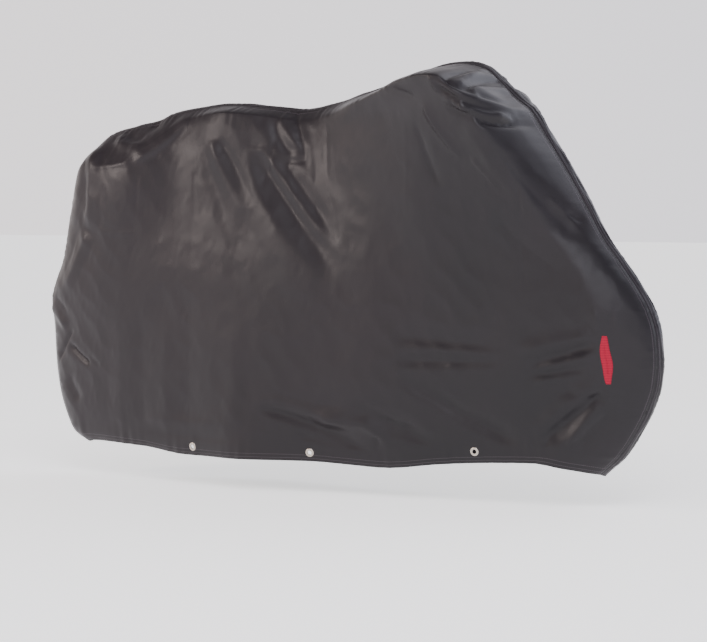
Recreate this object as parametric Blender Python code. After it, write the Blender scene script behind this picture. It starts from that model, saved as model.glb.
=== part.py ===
"""Fitted bicycle cover: two side panels, the strip between them, hem bands, eyelets and lock patches.

Sizes are in metres, +Z is up, +X points forward along the bicycle and -Y is the bicycle's right side.
The tables give places in bicycle coordinates: x from the middle between the wheels, z above the ground.
The cover's own origin is the underside of the centre strip at its highest point, over the handlebar.

A point of a side panel is named by two numbers: a runs from the rear seam (0) to the front seam (1),
and b runs from the edge of the hem (0) to the top seam (1).
"""
import math

import bmesh
import bpy
import numpy as np
from mathutils import Matrix, Vector
from mathutils.geometry import delaunay_2d_cdt

# ---------------------------------------------------------------- driving dimensions
CLOTH = 0.002             # thickness of the coated cloth with its seam layers
GAP = 0.0003              # room left between two pieces that are sewn or pressed together
BAND_GAP = 0.0008         # room left between the hem band and the panel, which lean differently
STRIP_HALF = 0.022        # half the width of the centre strip, seam to seam
STRIP_CROWN = 0.008       # how far the strip bulges out between its seams
BAND_HEIGHT = 0.050       # height of the hem band that holds the eyelets
ORIGIN_X = 0.399          # the cover's origin in bicycle coordinates
ORIGIN_Z = 1.169

EYELET_OUTER = 0.0120     # radius of an eyelet's flanges
EYELET_NECK = 0.0070      # radius of its neck where it passes through the cloth
EYELET_BORE = 0.0058      # radius of the free hole
EYELET_FLANGE = 0.0009    # thickness of a flange
FLANGE_ROOM = 0.0006      # room between a flange and the cloth, which is not quite flat
EYELET_SIDES = 14

PATCH_X = 0.854           # middle of the lock patch
PATCH_Z = 0.396
PATCH_LENGTH = 0.124
PATCH_WIDTH = 0.027
PATCH_END = 0.45          # width of its blunt ends, as a share of its full width
PATCH_THICK = 0.0012
PATCH_LEAN = 0.06         # how far the patch leans forward for each unit that it goes down
PATCH_STIFF = 0.032       # the patch keeps the cloth free of folds this far around it
PATCH_SEAT = {-1: 0.00062, 1: 0.00102}  # how far each side's patch stands off the faceted cloth

COLUMNS = 40              # mesh steps along a panel
ROWS_BELOW = 19           # mesh steps from the hem band to the shoulder
ROWS_ABOVE = 4            # mesh steps from the shoulder to the top seam
STRIP_STEPS = 4           # mesh steps across the strip
PANEL_SIZE = (1.75, 1.02)  # rough length and height of a panel, to measure distances on it

# ---------------------------------------------------------------- outline, in bicycle coordinates
# Seam line over the top, rear corner to front corner: x, z.
TOP_SEAM = [
    (-0.800, 0.936), (-0.735, 0.983), (-0.650, 1.006), (-0.567, 1.022), (-0.525, 1.039),
    (-0.443, 1.054), (-0.322, 1.064), (-0.203, 1.056), (-0.086, 1.045), (-0.009, 1.055),
    (0.105, 1.086), (0.217, 1.119), (0.290, 1.144), (0.399, 1.163), (0.470, 1.148), (0.520, 1.108),
]
# Seam line up the rear, hem to top corner: z, x.
REAR_SEAM = [
    (0.100, -0.825), (0.125, -0.868), (0.158, -0.888), (0.245, -0.919), (0.330, -0.932),
    (0.430, -0.938), (0.508, -0.947), (0.577, -0.924), (0.620, -0.904), (0.750, -0.872),
    (0.890, -0.834), (0.936, -0.800),
]
# Seam line up the front, hem to top corner: z, x.
FRONT_SEAM = [
    (0.092, 0.806), (0.142, 0.860), (0.206, 0.905), (0.269, 0.938), (0.331, 0.958), (0.390, 0.963),
    (0.454, 0.958), (0.516, 0.940), (0.576, 0.905), (0.637, 0.861), (0.699, 0.813), (0.792, 0.760),
    (0.886, 0.703), (0.981, 0.640), (1.037, 0.603), (1.066, 0.565), (1.108, 0.520),
]
# Edge of the hem, rear to front: x, z.
HEM_EDGE = [
    (-0.825, 0.100), (-0.745, 0.103), (-0.587, 0.100), (-0.420, 0.087), (-0.290, 0.088),
    (0.000, 0.092), (0.200, 0.084), (0.375, 0.102), (0.544, 0.115), (0.650, 0.119),
    (0.741, 0.106), (0.806, 0.092),
]

# Cross-sections, rear to front. x is where the section meets the top seam, drop is how far the
# shoulder lies below that seam, and the rest are half-widths of the cover: at the shoulder, at
# three quarters, half and a quarter of the height, and at the hem.
# Columns: x, drop, shoulder, high, belly, low, hem.
SECTIONS = [
    (-0.800, 0.060, 0.022, 0.022, 0.022, 0.022, 0.022),   # rear seam
    (-0.785, 0.075, 0.055, 0.054, 0.046, 0.043, 0.038),   # rounding behind
    (-0.735, 0.090, 0.100, 0.098, 0.082, 0.070, 0.058),   # rear corner
    (-0.610, 0.105, 0.115, 0.130, 0.120, 0.105, 0.085),   # over the luggage rack
    (-0.430, 0.030, 0.060, 0.105, 0.132, 0.135, 0.125),   # behind the saddle
    (-0.300, 0.022, 0.085, 0.108, 0.145, 0.158, 0.160),   # saddle
    (-0.070, 0.030, 0.055, 0.112, 0.150, 0.158, 0.115),   # valley over the top tube
    (0.180, 0.034, 0.165, 0.165, 0.150, 0.140, 0.100),    # rising to the grips
    (0.425, 0.044, 0.280, 0.200, 0.120, 0.105, 0.092),    # grips
    (0.490, 0.060, 0.150, 0.105, 0.070, 0.062, 0.055),    # falling to the front wheel
    (0.510, 0.050, 0.070, 0.055, 0.045, 0.040, 0.036),    # rounding in front
    (0.520, 0.040, 0.022, 0.022, 0.022, 0.022, 0.022),    # front seam
]
# The handlebar leans a little, so the left grip is lower and holds the cloth out less.
LEFT_SECTIONS = {
    0.180: (0.180, 0.044, 0.140, 0.150, 0.145, 0.140, 0.100),
    0.425: (0.388, 0.090, 0.232, 0.180, 0.122, 0.107, 0.093),
    0.490: (0.462, 0.110, 0.090, 0.094, 0.074, 0.066, 0.060),
    0.510: (0.510, 0.100, 0.036, 0.045, 0.042, 0.040, 0.036),
}

# Folds: start, middle and end as x, z; half-width at the start and at the end; how far the fold
# stands out of the cloth (minus: how deep it lies); and its strength on the left side.
# Columns: x0, z0, x1, z1, x2, z2, width0, width1, depth, left.
FOLDS = [
    # rear
    (-0.745, 0.900, -0.760, 0.745, -0.905, 0.560, 0.018, 0.016, 0.010, 0.8),   # corner ridge
    (-0.735, 0.918, -0.670, 0.930, -0.600, 0.935, 0.024, 0.018, -0.014, 0.8),  # sunk rack cloth
    (-0.655, 0.988, -0.612, 0.962, -0.575, 0.988, 0.013, 0.012, -0.012, 0.0),  # crescent dent
    (-0.605, 0.903, -0.530, 0.965, -0.430, 1.042, 0.011, 0.012, 0.011, 0.6),   # rack to saddle
    (-0.880, 0.400, -0.820, 0.350, -0.760, 0.328, 0.010, 0.009, -0.014, 0.0),  # pinch
    (-0.838, 0.450, -0.875, 0.390, -0.905, 0.330, 0.010, 0.010, -0.012, 0.0),  # pinch across it
    (-0.938, 0.500, -0.900, 0.462, -0.852, 0.430, 0.013, 0.010, 0.009, 0.6),   # lit facet
    (-0.862, 0.295, -0.842, 0.255, -0.812, 0.215, 0.016, 0.014, -0.009, 0.0),  # lower dent
    # fan under the saddle
    (-0.400, 0.990, -0.345, 0.880, -0.265, 0.740, 0.010, 0.022, 0.009, 0.8),
    (-0.365, 0.990, -0.310, 0.910, -0.245, 0.810, 0.010, 0.018, -0.011, 0.8),
    (-0.205, 0.945, -0.120, 0.830, 0.035, 0.635, 0.014, 0.028, -0.017, 0.9),
    (-0.138, 0.930, -0.080, 0.820, 0.080, 0.640, 0.010, 0.017, -0.015, 0.9),
    (-0.200, 0.850, -0.080, 0.710, 0.045, 0.570, 0.014, 0.024, 0.011, 0.9),
    (-0.125, 1.025, -0.100, 0.965, -0.072, 0.920, 0.012, 0.014, -0.012, 0.5),
    (-0.118, 0.911, -0.070, 0.909, -0.022, 0.914, 0.009, 0.007, -0.008, 0.0),
    (-0.088, 1.005, -0.055, 0.950, -0.015, 0.890, 0.011, 0.015, -0.008, 0.5),
    # grips to the front seam
    (0.462, 1.113, 0.535, 1.077, 0.600, 1.037, 0.010, 0.012, -0.013, 0.7),
    (0.462, 1.092, 0.525, 1.058, 0.582, 1.012, 0.009, 0.013, -0.012, 0.7),
    (0.470, 1.104, 0.540, 1.065, 0.600, 1.026, 0.008, 0.011, 0.008, 0.7),
    (0.462, 1.072, 0.530, 1.034, 0.606, 1.004, 0.011, 0.013, 0.011, 0.7),
    (0.482, 1.044, 0.545, 1.009, 0.612, 0.988, 0.012, 0.013, -0.011, 0.7),
    # along the front
    (0.570, 0.965, 0.635, 0.875, 0.792, 0.700, 0.011, 0.022, -0.015, 0.8),
    (0.550, 0.940, 0.615, 0.840, 0.755, 0.690, 0.020, 0.028, 0.009, 0.8),
    # beside the front wheel
    (0.320, 0.452, 0.400, 0.442, 0.510, 0.428, 0.012, 0.014, -0.009, 0.6),
    (0.650, 0.380, 0.750, 0.405, 0.838, 0.432, 0.011, 0.016, -0.013, 0.6),
    (0.650, 0.415, 0.740, 0.437, 0.830, 0.452, 0.011, 0.013, 0.009, 0.6),
    (0.695, 0.352, 0.780, 0.350, 0.845, 0.342, 0.012, 0.015, -0.009, 0.6),
    (0.335, 0.325, 0.460, 0.262, 0.625, 0.165, 0.026, 0.024, -0.015, 0.9),
    (0.695, 0.172, 0.780, 0.245, 0.875, 0.322, 0.010, 0.016, -0.016, 0.8),
    (0.705, 0.208, 0.768, 0.268, 0.845, 0.330, 0.011, 0.013, 0.010, 0.8),
    (0.785, 0.150, 0.830, 0.200, 0.868, 0.255, 0.014, 0.014, -0.013, 0.8),
    # between the wheels, near the hem
    (-0.135, 0.238, 0.000, 0.181, 0.195, 0.146, 0.012, 0.011, -0.016, 0.6),
    (-0.125, 0.212, 0.020, 0.161, 0.185, 0.130, 0.010, 0.010, 0.011, 0.6),
    (0.020, 0.212, 0.150, 0.224, 0.305, 0.170, 0.012, 0.020, -0.014, 0.6),
    (0.090, 0.188, 0.145, 0.207, 0.215, 0.165, 0.014, 0.016, 0.011, 0.6),
]
FOLD_STEPS = 6            # mesh steps along a fold
FOLD_LINES = (-1.7, -0.8, 0.0, 0.8, 1.7)   # mesh lines beside a fold, in half-widths
POINT_SPACING = 0.012     # mesh points nearer than this to a fold's points are left out

# Eyelets: name, x, height above the hem's edge.
EYELETS = [("rear", -0.395, 0.024), ("middle", -0.008, 0.024), ("front", 0.484, 0.033)]
EYELET_ROOM = 0.011       # half the width, as a share of the panel, of the flat cloth around one

# Materials: linear colour, roughness, metallic.
FINISHES = {
    "coated_polyester": ((0.082, 0.074, 0.080), 0.55, 0.0),
    "strip_polyester": ((0.066, 0.060, 0.066), 0.55, 0.0),
    "nickel": ((0.62, 0.58, 0.54), 0.28, 1.0),
    "red_webbing": ((0.62, 0.020, 0.052), 0.60, 0.0),
}


# ---------------------------------------------------------------- curves and surfaces
def smooth(places, values, at):
    """Cubic curve through the values that never overshoots them (each slope is a weighted
    harmonic mean of the two secants beside it, and 0 where they change sign)."""
    places = np.asarray(places, dtype=float)
    values = np.asarray(values, dtype=float)
    at = np.asarray(at, dtype=float)
    step = np.diff(places, axis=0)
    secant = np.diff(values, axis=0) / step
    left = 2 * step[1:] + step[:-1]
    right = step[1:] + 2 * step[:-1]
    same = secant[:-1] * secant[1:] > 0
    first = np.where(same, secant[:-1], 1.0)
    second = np.where(same, secant[1:], 1.0)
    slope = np.zeros_like(values)
    slope[1:-1] = np.where(same, (left + right) / (left / first + right / second), 0.0)
    slope[0] = secant[0]
    slope[-1] = secant[-1]
    result = values[0] + np.zeros_like(at)
    for k in range(len(step)):
        t = np.clip((at - places[k]) / step[k], 0.0, 1.0)
        piece = ((1 + 2 * t) * (1 - t) ** 2 * values[k]
                 + t * (1 - t) ** 2 * step[k] * slope[k]
                 + t * t * (3 - 2 * t) * values[k + 1]
                 + t * t * (t - 1) * step[k] * slope[k + 1])
        result = np.where(at >= places[k], piece, result)
    return result


def along(table, share):
    """Point of a boundary line at a share of the way along its first column."""
    table = np.array(table)
    first = table[0, 0] + share * (table[-1, 0] - table[0, 0])
    return first, smooth(table[:, 0], table[:, 1], first)


def plan_place(a, b):
    """x and z of the panel's point (a, b): a patch blended between its four edges."""
    top_x, top_z = along(TOP_SEAM, a)
    hem_x, hem_z = along(HEM_EDGE, a)
    rear_z, rear_x = along(REAR_SEAM, b)
    front_z, front_x = along(FRONT_SEAM, b)
    corners = ((1 - a) * (1 - b), a * (1 - b), (1 - a) * b, a * b)
    ends = (HEM_EDGE[0], HEM_EDGE[-1], TOP_SEAM[0], TOP_SEAM[-1])
    x = (1 - b) * hem_x + b * top_x + (1 - a) * rear_x + a * front_x
    z = (1 - b) * hem_z + b * top_z + (1 - a) * rear_z + a * front_z
    for share, end in zip(corners, ends):
        x = x - share * end[0]
        z = z - share * end[1]
    return x, z


def sections(side):
    """The section table of one side as an array; side is -1 on the right and 1 on the left."""
    rows = [LEFT_SECTIONS.get(row[0], row) if side > 0 else row for row in SECTIONS]
    return np.array(rows)


def shoulder_share(a, side):
    """b of the shoulder line."""
    table = sections(side)
    place = (table[:, 0] - table[0, 0]) / (table[-1, 0] - table[0, 0])
    _, top_z = along(TOP_SEAM, a)
    _, hem_z = along(HEM_EDGE, a)
    return 1 - smooth(place, table[:, 1], a) / (top_z - hem_z)


def half_width(a, b, side):
    """Half-width of the cover: a curve up the height through the section's widths."""
    table = sections(side)
    place = (table[:, 0] - table[0, 0]) / (table[-1, 0] - table[0, 0])
    shoulder, high, belly, low, hem = (smooth(place, table[:, k], a) for k in range(2, 7))
    one = np.ones_like(shoulder)
    heights = np.array([0 * one, 0.25 * one, 0.5 * one, 0.75 * one, shoulder_share(a, side), one])
    widths = np.array([hem, low, belly, high, shoulder, STRIP_HALF * one])
    return smooth(heights, widths, b)


def base_point(a, b, side):
    """The panel without folds, as an array of points in bicycle coordinates."""
    x, z = plan_place(a, b)
    return np.stack([x, side * half_width(a, b, side), z], axis=-1)


def outward(a, b, side):
    """Unit normal of the panel without folds, from steps of a thousandth each way."""
    step = 0.001
    along_a = base_point(a + step, b, side) - base_point(a - step, b, side)
    up_b = base_point(a, b + step, side) - base_point(a, b - step, side)
    normal = np.cross(along_a, up_b) * -side
    return normal / np.linalg.norm(normal, axis=-1, keepdims=True)


def fold_path(fold, share):
    """Points of a fold's middle line: the quadratic curve that meets its middle point halfway."""
    start, middle, end = (np.array(fold[k:k + 2]) for k in (0, 2, 4))
    pull = 2 * middle - (start + end) / 2
    share = np.asarray(share)[..., None]
    return (1 - share) ** 2 * start + 2 * share * (1 - share) * pull + share ** 2 * end


def relief(x, z, side):
    """How far the folds stand out of the cloth at x, z: each is a bell across its middle line."""
    total = np.zeros_like(x)
    shares = np.linspace(0, 1, 33)
    for fold in FOLDS:
        width0, width1, depth, left = fold[6:]
        strength = depth * (left if side > 0 else 1.0)
        path = fold_path(fold, shares)
        away = np.hypot(x[..., None] - path[:, 0], z[..., None] - path[:, 1])
        nearest = np.argmin(away, axis=-1)
        share = shares[nearest]
        distance = np.min(away, axis=-1)
        width = width0 + (width1 - width0) * share
        fade = np.sin(math.pi * np.clip(share, 0.06, 0.94)) ** 0.5
        total = total + strength * fade * np.exp(-(distance / width) ** 2)
    down = np.clip(PATCH_Z - z, -PATCH_LENGTH / 2, PATCH_LENGTH / 2)
    away = np.hypot(x - PATCH_X - PATCH_LEAN * down, z - PATCH_Z + down)
    return total * (1 - np.exp(-(away / PATCH_STIFF) ** 4))


def band_share(a):
    """b of the top of the hem band."""
    _, top_z = along(TOP_SEAM, a)
    _, hem_z = along(HEM_EDGE, a)
    return BAND_HEIGHT / (top_z - hem_z)


def cloth_point(a, b, side, lift=0.0):
    """The panel with its folds, which die away towards the seams and the hem band."""
    def ramp(distance, room):
        share = np.clip(distance / room, 0, 1)
        return share * share * (3 - 2 * share)
    length, height = PANEL_SIZE
    fade = ramp(a * length, 0.03) * ramp((1 - a) * length, 0.03)
    fade = fade * ramp((1 - b) * height, 0.02) * ramp((b - band_share(a)) * height, 0.03)
    x, z = plan_place(a, b)
    out = lift + fade * relief(x, z, side)
    return base_point(a, b, side) + outward(a, b, side) * out[..., None]


def locate(x, z):
    """(a, b) of the panel's points at x, z, by a few Newton steps."""
    x = np.asarray(x, dtype=float)
    z = np.asarray(z, dtype=float)
    a = (x + 0.9) / 1.8
    b = (z - 0.1) / 1.0
    step = 0.001
    for _ in range(12):
        here_x, here_z = plan_place(a, b)
        xa, za = plan_place(a + step, b)
        xb, zb = plan_place(a, b + step)
        m11, m12 = (xa - here_x) / step, (xb - here_x) / step
        m21, m22 = (za - here_z) / step, (zb - here_z) / step
        det = m11 * m22 - m12 * m21
        dx, dz = x - here_x, z - here_z
        a = np.clip(a + (m22 * dx - m12 * dz) / det, -0.2, 1.2)
        b = np.clip(b + (m11 * dz - m21 * dx) / det, -0.2, 1.2)
    return a, b


def in_frame(points):
    """Bicycle coordinates to the cover's own frame."""
    return np.asarray(points) - np.array([ORIGIN_X, 0.0, ORIGIN_Z])


# ---------------------------------------------------------------- mesh lattice
def eyelet_share(x, height):
    """a of an eyelet."""
    hem = np.array(HEM_EDGE)
    z = smooth(hem[:, 0], hem[:, 1], x) + height
    return float(locate(x, z)[0])


def column_places():
    """a of the mesh columns: closer together towards both seams, and one each side of an eyelet."""
    t = np.linspace(0, 1, COLUMNS + 1)
    a = t - 0.62 * np.sin(2 * math.pi * t) / (2 * math.pi)
    for _, x, height in EYELETS:
        middle = eyelet_share(x, height)
        k = int(np.searchsorted(a, middle))
        a[k - 1] = middle - EYELET_ROOM
        a[k] = middle + EYELET_ROOM
    return a


def row_places(a, side):
    """b of the mesh rows in the columns a: hem band to shoulder, then shoulder to top seam."""
    low = band_share(a)
    high = shoulder_share(a, side)
    below = low + (high - low) * np.linspace(0, 1, ROWS_BELOW + 1)[:, None]
    above = high + (1 - high) * np.linspace(0, 1, ROWS_ABOVE + 1)[1:, None]
    return np.concatenate([below, above])


def fold_places(side):
    """Lattice points along the folds, as (a, b) pairs inside the panel."""
    places = []
    for fold in FOLDS:
        if side > 0 and fold[9] == 0.0:
            continue
        shares = np.linspace(0.03, 0.97, FOLD_STEPS + 1)
        path = fold_path(fold, shares)
        heading = np.gradient(path, axis=0)
        heading /= np.linalg.norm(heading, axis=1, keepdims=True)
        sideways = np.stack([-heading[:, 1], heading[:, 0]], axis=1)
        width = fold[6] + (fold[7] - fold[6]) * shares
        for line in FOLD_LINES:
            places.append(path + sideways * (line * width)[:, None])
    points = np.concatenate(places)
    a, b = locate(points[:, 0], points[:, 1])
    inside = (a > 0.015) & (a < 0.985) & (b > band_share(a) + 0.012) & (b < 0.985)
    return np.stack([a, b], axis=1)[inside]


def thinned(points, keep, spacing):
    """The points that lie at least spacing from every kept one and from each other."""
    size = np.array(PANEL_SIZE)
    chosen = list(keep * size)
    result = []
    for point in points:
        place = point * size
        if np.min(np.linalg.norm(np.array(chosen) - place, axis=1)) >= spacing:
            chosen.append(place)
            result.append(point)
    return np.array(result)


def edge_places(side):
    """The panel's border points, once round from the rear hem: up, over, down and back."""
    a = column_places()
    rows = row_places(a, side)
    rear = np.stack([np.zeros(len(rows)), rows[:, 0]], axis=1)
    top = np.stack([a, np.ones_like(a)], axis=1)
    front = np.stack([np.ones(len(rows)), rows[:, -1]], axis=1)[::-1]
    bottom = np.stack([a, rows[0]], axis=1)[::-1]
    return rear, top, front, bottom


# ---------------------------------------------------------------- Blender objects
def make_material(name):
    colour, roughness, metallic = FINISHES[name]
    material = bpy.data.materials.get(name)
    if material is None:
        material = bpy.data.materials.new(name)
        material.use_nodes = True
        shader = material.node_tree.nodes["Principled BSDF"]
        shader.inputs["Base Color"].default_value = (*colour, 1.0)
        shader.inputs["Roughness"].default_value = roughness
        shader.inputs["Metallic"].default_value = metallic
    return material


def make_object(name, points, faces, finish, holder):
    """A named object with its mesh in the cover's frame, smooth shaded."""
    mesh = bpy.data.meshes.new(name)
    mesh.from_pydata([tuple(p) for p in points], [], [tuple(int(i) for i in f) for f in faces])
    mesh.shade_smooth()
    mesh.materials.append(make_material(finish))
    piece = bpy.data.objects.new(name, mesh)
    piece.parent = holder
    bpy.context.collection.objects.link(piece)
    return piece


def thicken(piece, thickness, offset):
    """Gives a sheet its thickness: offset 1 outwards, -1 inwards."""
    solid = piece.modifiers.new("thickness", "SOLIDIFY")
    solid.thickness = thickness
    solid.offset = offset
    solid.use_quality_normals = True
    return solid


def facing(faces, side):
    """Faces listed from a to b, turned so that they look out of their side of the cover."""
    return [face[::-1] for face in faces] if side > 0 else list(faces)


def make_panel(name, side, holder):
    """Side panel above the hem band, triangulated finely along its folds."""
    rear, top, front, bottom = edge_places(side)
    border = np.concatenate([rear, top[1:], front[1:], bottom[1:-1]])
    a = column_places()
    rows = row_places(a, side)
    lattice = np.stack([np.broadcast_to(a, rows.shape), rows], axis=2)[1:-1, 1:-1].reshape(-1, 2)
    fold_points = thinned(fold_places(side), border, POINT_SPACING)
    rest = thinned(lattice, np.concatenate([border, fold_points]), POINT_SPACING * 1.5)
    places = np.concatenate([border, fold_points, rest])
    flat = [Vector(p * np.array(PANEL_SIZE)) for p in places]
    ring = [(i, (i + 1) % len(border)) for i in range(len(border))]
    made = delaunay_2d_cdt(flat, ring, [], 1, 1e-6)
    places = np.array([tuple(v) for v in made[0]]) / np.array(PANEL_SIZE)
    a, b = places[:, 0], places[:, 1]
    # A hair's breadth is left between the panel and the band and strip that it is sewn to.
    low = band_share(a) + BAND_GAP / PANEL_SIZE[1]
    b = np.maximum(b, low)
    points = cloth_point(a, b, side)
    points[:, 1] += side * GAP
    panel = make_object(name, in_frame(points), facing(made[2], side), "coated_polyester", holder)
    return thicken(panel, CLOTH, 1)


def make_band(name, side, holder):
    """Hem band: one row of quads between the hem's edge and the panel."""
    a = column_places()
    low = cloth_point(a, np.zeros_like(a), side)
    high = cloth_point(a, band_share(a), side)
    points = np.concatenate([low, high])
    points[:, 1] += side * GAP
    count = len(a)
    faces = [(i, i + 1, count + i + 1, count + i) for i in range(count - 1)]
    band = make_object(name, in_frame(points), facing(faces, side), "coated_polyester", holder)
    thicken(band, CLOTH, 1)
    return band, points


def make_strip(name, holder):
    """Centre strip: crowned rows of points carried along the seam line."""
    a_rows = {side: edge_places(side) for side in (-1, 1)}
    seams = {}
    for side, (rear, top, front, _) in a_rows.items():
        rear = np.concatenate([[(0.0, 0.0)], rear])
        front = np.concatenate([front, [(1.0, 0.0)]])
        line = np.concatenate([rear, top[1:], front[1:]])
        seams[side] = base_point(line[:, 0], line[:, 1], side)
    heading = np.gradient(seams[-1][:, [0, 2]], axis=0)
    heading /= np.linalg.norm(heading, axis=1, keepdims=True)
    away = np.stack([-heading[:, 1], np.zeros(len(heading)), heading[:, 0]], axis=1)
    rows = []
    for k in range(STRIP_STEPS + 1):
        across = 2 * k / STRIP_STEPS - 1
        share = (across + 1) / 2
        middle = seams[-1] * (1 - share) + seams[1] * share
        rows.append(middle + away * (STRIP_CROWN * (1 - across ** 2)))
    points = np.concatenate(rows)
    count = len(heading)
    faces = []
    for k in range(STRIP_STEPS):
        for i in range(count - 1):
            faces.append((k * count + i, k * count + i + 1,
                          (k + 1) * count + i + 1, (k + 1) * count + i))
    strip = make_object(name, in_frame(points), faces, "strip_polyester", holder)
    return thicken(strip, CLOTH, -1)


def make_eyelet_mesh():
    """Pressed eyelet about +Z: two flanges joined by a neck, with the cloth's room between them."""
    room = CLOTH / 2 + FLANGE_ROOM
    outside = room + EYELET_FLANGE
    profile = [
        (EYELET_BORE, -outside), (EYELET_OUTER - 0.0008, -outside), (EYELET_OUTER, -room),
        (EYELET_NECK, -room), (EYELET_NECK, room), (EYELET_OUTER, room),
        (EYELET_OUTER - 0.0008, outside), (EYELET_BORE, outside),
    ]
    work = bmesh.new()
    ring = [work.verts.new((r, 0.0, z)) for r, z in profile]
    edges = [work.edges.new((ring[i], ring[(i + 1) % len(ring)])) for i in range(len(ring))]
    bmesh.ops.spin(work, geom=ring + edges, cent=(0, 0, 0), axis=(0, 0, 1),
                   angle=2 * math.pi, steps=EYELET_SIDES, use_merge=True)
    bmesh.ops.remove_doubles(work, verts=work.verts, dist=1e-6)
    bmesh.ops.recalc_face_normals(work, faces=work.faces)
    mesh = bpy.data.meshes.new("eyelet")
    work.to_mesh(mesh)
    work.free()
    mesh.shade_smooth()
    mesh.set_sharp_from_angle(angle=math.radians(40))
    mesh.materials.append(make_material("nickel"))
    return mesh


def eyelet_place(band_points, x, height):
    """Middle and outward normal of the cloth at an eyelet, on the flat quad of the hem band."""
    count = len(band_points) // 2
    low, high = band_points[:count], band_points[count:]
    k = int(np.searchsorted(column_places(), eyelet_share(x, height))) - 1
    share = height / BAND_HEIGHT
    corner = low[k] * (1 - share) + high[k] * share
    next_corner = low[k + 1] * (1 - share) + high[k + 1] * share
    middle = (corner + next_corner) / 2
    normal = np.cross(low[k + 1] - high[k], low[k] - high[k + 1])
    normal /= np.linalg.norm(normal)
    if normal[1] * middle[1] < 0:
        normal = -normal
    return middle + normal * CLOTH / 2, normal


def make_eyelets(side_name, band, band_points, eyelet_mesh, holder):
    """The three eyelets of one side and the holes that they line."""
    for place, x, height in EYELETS:
        middle, normal = eyelet_place(band_points, x, height)
        turn = Vector(normal).to_track_quat("Z", "Y").to_matrix().to_4x4()
        pose = Matrix.Translation(Vector(in_frame(middle))) @ turn
        eyelet = bpy.data.objects.new(f"eyelet_{side_name}_{place}", eyelet_mesh)
        eyelet.parent = holder
        eyelet.matrix_world = pose
        bpy.context.collection.objects.link(eyelet)

        work = bmesh.new()
        bmesh.ops.create_cone(work, cap_ends=True, segments=EYELET_SIDES,
                              radius1=EYELET_NECK + 0.0004, radius2=EYELET_NECK + 0.0004,
                              depth=0.03, matrix=pose)
        mesh = bpy.data.meshes.new("hole")
        work.to_mesh(mesh)
        work.free()
        cutter = bpy.data.objects.new(f"hole_{side_name}_{place}", mesh)
        cutter.hide_render = True
        cutter.display_type = "WIRE"
        cutter.parent = holder
        bpy.context.collection.objects.link(cutter)
        cut = band.modifiers.new(f"hole {place}", "BOOLEAN")
        cut.operation = "DIFFERENCE"
        cut.solver = "EXACT"
        cut.object = cutter


def make_patch(name, side, holder):
    """Lock patch: a slim oval with blunt ends that lies on the panel."""
    steps_long, steps_wide = 10, 4
    points = []
    for i in range(steps_long + 1):
        down = 2 * i / steps_long - 1
        half = (PATCH_END + (1 - PATCH_END) * (1 - abs(down) ** 1.7)) * PATCH_WIDTH / 2
        for j in range(steps_wide + 1):
            over = 2 * j / steps_wide - 1
            x = PATCH_X + over * half + PATCH_LEAN * down * PATCH_LENGTH / 2
            z = PATCH_Z - down * PATCH_LENGTH / 2
            a, b = locate(np.array([x]), np.array([z]))
            points.append(cloth_point(a, b, side, lift=CLOTH + PATCH_SEAT[side])[0])
    wide = steps_wide + 1
    faces = [(i * wide + j, i * wide + j + 1, (i + 1) * wide + j + 1, (i + 1) * wide + j)
             for i in range(steps_long) for j in range(steps_wide)]
    patch = make_object(name, in_frame(points), facing(faces, -side), "red_webbing", holder)
    return thicken(patch, PATCH_THICK, 1)


def build():
    for old in list(bpy.data.objects):
        bpy.data.objects.remove(old, do_unlink=True)
    holder = bpy.data.objects.new("bicycle_cover", None)
    bpy.context.collection.objects.link(holder)
    make_strip("centre_strip", holder)
    eyelet_mesh = make_eyelet_mesh()
    for side_name, side in (("right", -1), ("left", 1)):
        make_panel(f"side_panel_{side_name}", side, holder)
        band, band_points = make_band(f"hem_band_{side_name}", side, holder)
        make_eyelets(side_name, band, band_points, eyelet_mesh, holder)
        make_patch(f"lock_patch_{side_name}", side, holder)


build()
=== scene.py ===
# %% [markdown]
# A fitted bicycle cover, dressed for the camera
#
# The cover is two side panels of coated polyester, joined by a narrow strip that runs up the rear,
# over the top and down the front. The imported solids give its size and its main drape. This notebook
# lays finer cloth over them, with creases, gathers, stitching, eyelets and lock patches, and lights it.

# %% Load the frame
import math

import bpy
import numpy as np
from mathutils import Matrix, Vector


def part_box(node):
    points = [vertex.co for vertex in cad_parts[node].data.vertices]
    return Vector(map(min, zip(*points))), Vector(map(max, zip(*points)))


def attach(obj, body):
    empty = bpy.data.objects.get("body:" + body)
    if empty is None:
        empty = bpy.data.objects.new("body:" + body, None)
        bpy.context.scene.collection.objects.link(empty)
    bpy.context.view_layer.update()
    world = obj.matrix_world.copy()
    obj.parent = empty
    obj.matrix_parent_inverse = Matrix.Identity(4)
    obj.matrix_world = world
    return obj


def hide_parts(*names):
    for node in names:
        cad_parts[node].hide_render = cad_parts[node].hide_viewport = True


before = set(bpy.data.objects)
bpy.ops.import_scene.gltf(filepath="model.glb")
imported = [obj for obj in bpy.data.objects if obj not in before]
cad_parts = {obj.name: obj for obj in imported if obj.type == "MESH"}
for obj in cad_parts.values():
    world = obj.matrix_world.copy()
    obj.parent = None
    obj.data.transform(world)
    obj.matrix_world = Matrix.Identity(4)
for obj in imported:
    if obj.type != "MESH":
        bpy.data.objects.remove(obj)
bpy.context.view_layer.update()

# %% [markdown]
# The outline
#
# The side panel's edge follows the bicycle: up from the rear hem, over the rack and the saddle, up to
# the handlebar and down round the front wheel. Four smooth edges bound it, so every point inside can
# be named by two shares: a from rear to front, and b from the hem to the top seam. The tables give
# places in millimetres from the middle between the wheels, on the ground; the frame's own origin lies
# under the strip's highest point. Every other length is in metres.

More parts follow.
